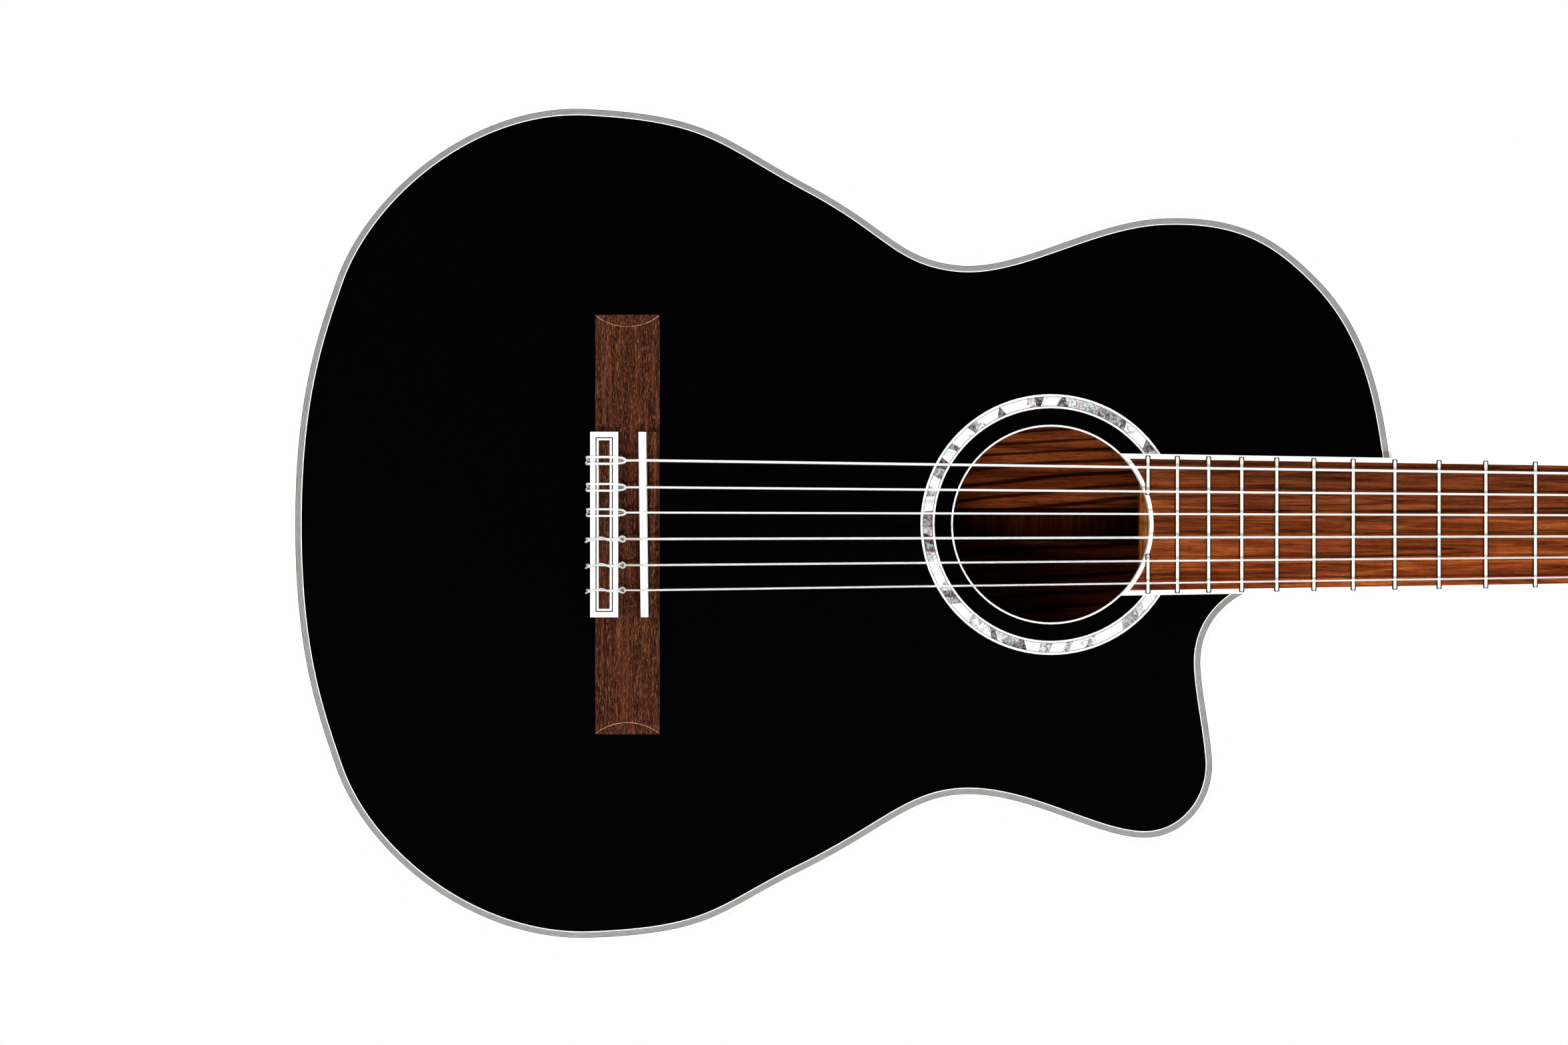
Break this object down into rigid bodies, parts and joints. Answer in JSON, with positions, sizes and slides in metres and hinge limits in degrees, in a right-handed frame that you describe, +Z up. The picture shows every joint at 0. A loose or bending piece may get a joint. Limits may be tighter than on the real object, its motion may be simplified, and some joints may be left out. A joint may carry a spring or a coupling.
{
  "type": "classical guitar",
  "caption": "Nylon-string classical guitar with a single cutaway, black gloss body, bound edges, slotted headstock and geared tuners whose buttons turn the string rollers.",
  "frame": {"origin": "centre line where the nut meets the fingerboard, level with the soundboard's outer face: the place that a wall or stand hanger's yoke holds", "axes": "+Z up the neck to the headstock, -Y out of the soundboard, +X to the treble (cutaway) side"},
  "size_m": [0.367, 0.1106, 1.0033],
  "materials": {
    "black_lacquer": "deep black gloss lacquer over thin wood",
    "pearl_inlay": "pearl blocks in a polished ring",
    "cream_binding": "polished cream binding",
    "mahogany": "bare sanded wood",
    "spruce": "bare planed wood",
    "plated_metal": "polished nickel plate",
    "neck_wood": "satin-sealed mahogany",
    "steel_bar": "plain drawn steel",
    "rosewood": "oiled open-pored rosewood",
    "head_face": "black gloss lacquer",
    "bone": "polished bone",
    "nylon": "clear smooth nylon",
    "wound_string": "silver-plated fine winding",
    "tuner_metal": "polished gold-tone brass",
    "pearl_button": "polished pearl plastic",
    "roller_white": "smooth white roller with a metal gear"
  },
  "bodies": {
    "root": {"soundboard": "black_lacquer", "rosette": "pearl_inlay", "back_plate": "black_lacquer", "top_binding": "cream_binding", "back_binding": "cream_binding", "side_bass": "black_lacquer", "side_treble": "black_lacquer", "top_lining": "mahogany", "back_lining": "mahogany", "neck_block": "mahogany", "tail_block": "mahogany", "upper_transverse_brace": "spruce", "lower_transverse_brace": "spruce", "back_brace_1": "spruce", "back_brace_2": "spruce", "back_brace_3": "spruce", "bridge_patch": "spruce", "fan_brace_1": "spruce", "fan_brace_2": "spruce", "fan_brace_3": "spruce", "fan_brace_4": "spruce", "fan_brace_5": "spruce", "tail_inlay": "cream_binding", "neck": "neck_wood", "headstock": "neck_wood", "neck_bar": "steel_bar", "headstock_veneer": "head_face", "heel_cap": "cream_binding", "fingerboard": "rosewood", "fingerboard_binding": "cream_binding", "nut": "bone", "bridge": "rosewood", "saddle": "bone", "tie_block_plate": "bone", "string_1": "nylon", "string_2": "nylon", "string_3": "nylon", "string_4": "wound_string", "string_5": "wound_string", "string_6": "wound_string", "tuner_plate_bass": "tuner_metal", "tuner_plate_treble": "tuner_metal"},
    "tuner_1_drive": {"tuner_worm_1": "plated_metal", "tuner_button_1": "pearl_button"},
    "tuner_1_roller": {"string_roller_1": "roller_white"},
    "tuner_2_drive": {"tuner_worm_2": "plated_metal", "tuner_button_2": "pearl_button"},
    "tuner_2_roller": {"string_roller_2": "roller_white"},
    "tuner_3_drive": {"tuner_worm_3": "plated_metal", "tuner_button_3": "pearl_button"},
    "tuner_3_roller": {"string_roller_3": "roller_white"},
    "tuner_4_drive": {"tuner_worm_4": "plated_metal", "tuner_button_4": "pearl_button"},
    "tuner_4_roller": {"string_roller_4": "roller_white"},
    "tuner_5_drive": {"tuner_worm_5": "plated_metal", "tuner_button_5": "pearl_button"},
    "tuner_5_roller": {"string_roller_5": "roller_white"},
    "tuner_6_drive": {"tuner_worm_6": "plated_metal", "tuner_button_6": "pearl_button"},
    "tuner_6_roller": {"string_roller_6": "roller_white"}
  },
  "joints": [
    {"name": "tuner_1_turn", "type": "hinge", "parent": "root", "child": "tuner_1_drive", "pos_m": [0.041, 0.01938, 0.04256], "axis": [0, 0.9659, -0.2588], "continuous": true},
    {"name": "roller_1_turn", "type": "hinge", "parent": "root", "child": "tuner_1_roller", "pos_m": [0, 0.02163, 0.05097], "axis": [1, 0, 0], "continuous": true},
    {"name": "tuner_2_turn", "type": "hinge", "parent": "root", "child": "tuner_2_drive", "pos_m": [0.041, 0.02844, 0.07637], "axis": [0, 0.9659, -0.2588], "continuous": true},
    {"name": "roller_2_turn", "type": "hinge", "parent": "root", "child": "tuner_2_roller", "pos_m": [0, 0.03069, 0.08477], "axis": [1, 0, 0], "continuous": true},
    {"name": "tuner_3_turn", "type": "hinge", "parent": "root", "child": "tuner_3_drive", "pos_m": [0.041, 0.0375, 0.11018], "axis": [0, 0.9659, -0.2588], "continuous": true},
    {"name": "roller_3_turn", "type": "hinge", "parent": "root", "child": "tuner_3_roller", "pos_m": [0, 0.03975, 0.11858], "axis": [1, 0, 0], "continuous": true},
    {"name": "tuner_4_turn", "type": "hinge", "parent": "root", "child": "tuner_4_drive", "pos_m": [-0.041, 0.0375, 0.11018], "axis": [0, 0.9659, -0.2588], "continuous": true},
    {"name": "roller_4_turn", "type": "hinge", "parent": "root", "child": "tuner_4_roller", "pos_m": [0, 0.03975, 0.11858], "axis": [1, 0, 0], "continuous": true},
    {"name": "tuner_5_turn", "type": "hinge", "parent": "root", "child": "tuner_5_drive", "pos_m": [-0.041, 0.02844, 0.07637], "axis": [0, 0.9659, -0.2588], "continuous": true},
    {"name": "roller_5_turn", "type": "hinge", "parent": "root", "child": "tuner_5_roller", "pos_m": [0, 0.03069, 0.08477], "axis": [1, 0, 0], "continuous": true},
    {"name": "tuner_6_turn", "type": "hinge", "parent": "root", "child": "tuner_6_drive", "pos_m": [-0.041, 0.01938, 0.04256], "axis": [0, 0.9659, -0.2588], "continuous": true},
    {"name": "roller_6_turn", "type": "hinge", "parent": "root", "child": "tuner_6_roller", "pos_m": [0, 0.02163, 0.05097], "axis": [1, 0, 0], "continuous": true}
  ],
  "couplings": [
    {"joint": "roller_1_turn", "follows": "tuner_1_turn", "ratio": -0.071429},
    {"joint": "roller_2_turn", "follows": "tuner_2_turn", "ratio": -0.071429},
    {"joint": "roller_3_turn", "follows": "tuner_3_turn", "ratio": -0.071429},
    {"joint": "roller_4_turn", "follows": "tuner_4_turn", "ratio": -0.071429},
    {"joint": "roller_5_turn", "follows": "tuner_5_turn", "ratio": -0.071429},
    {"joint": "roller_6_turn", "follows": "tuner_6_turn", "ratio": -0.071429}
  ]
}
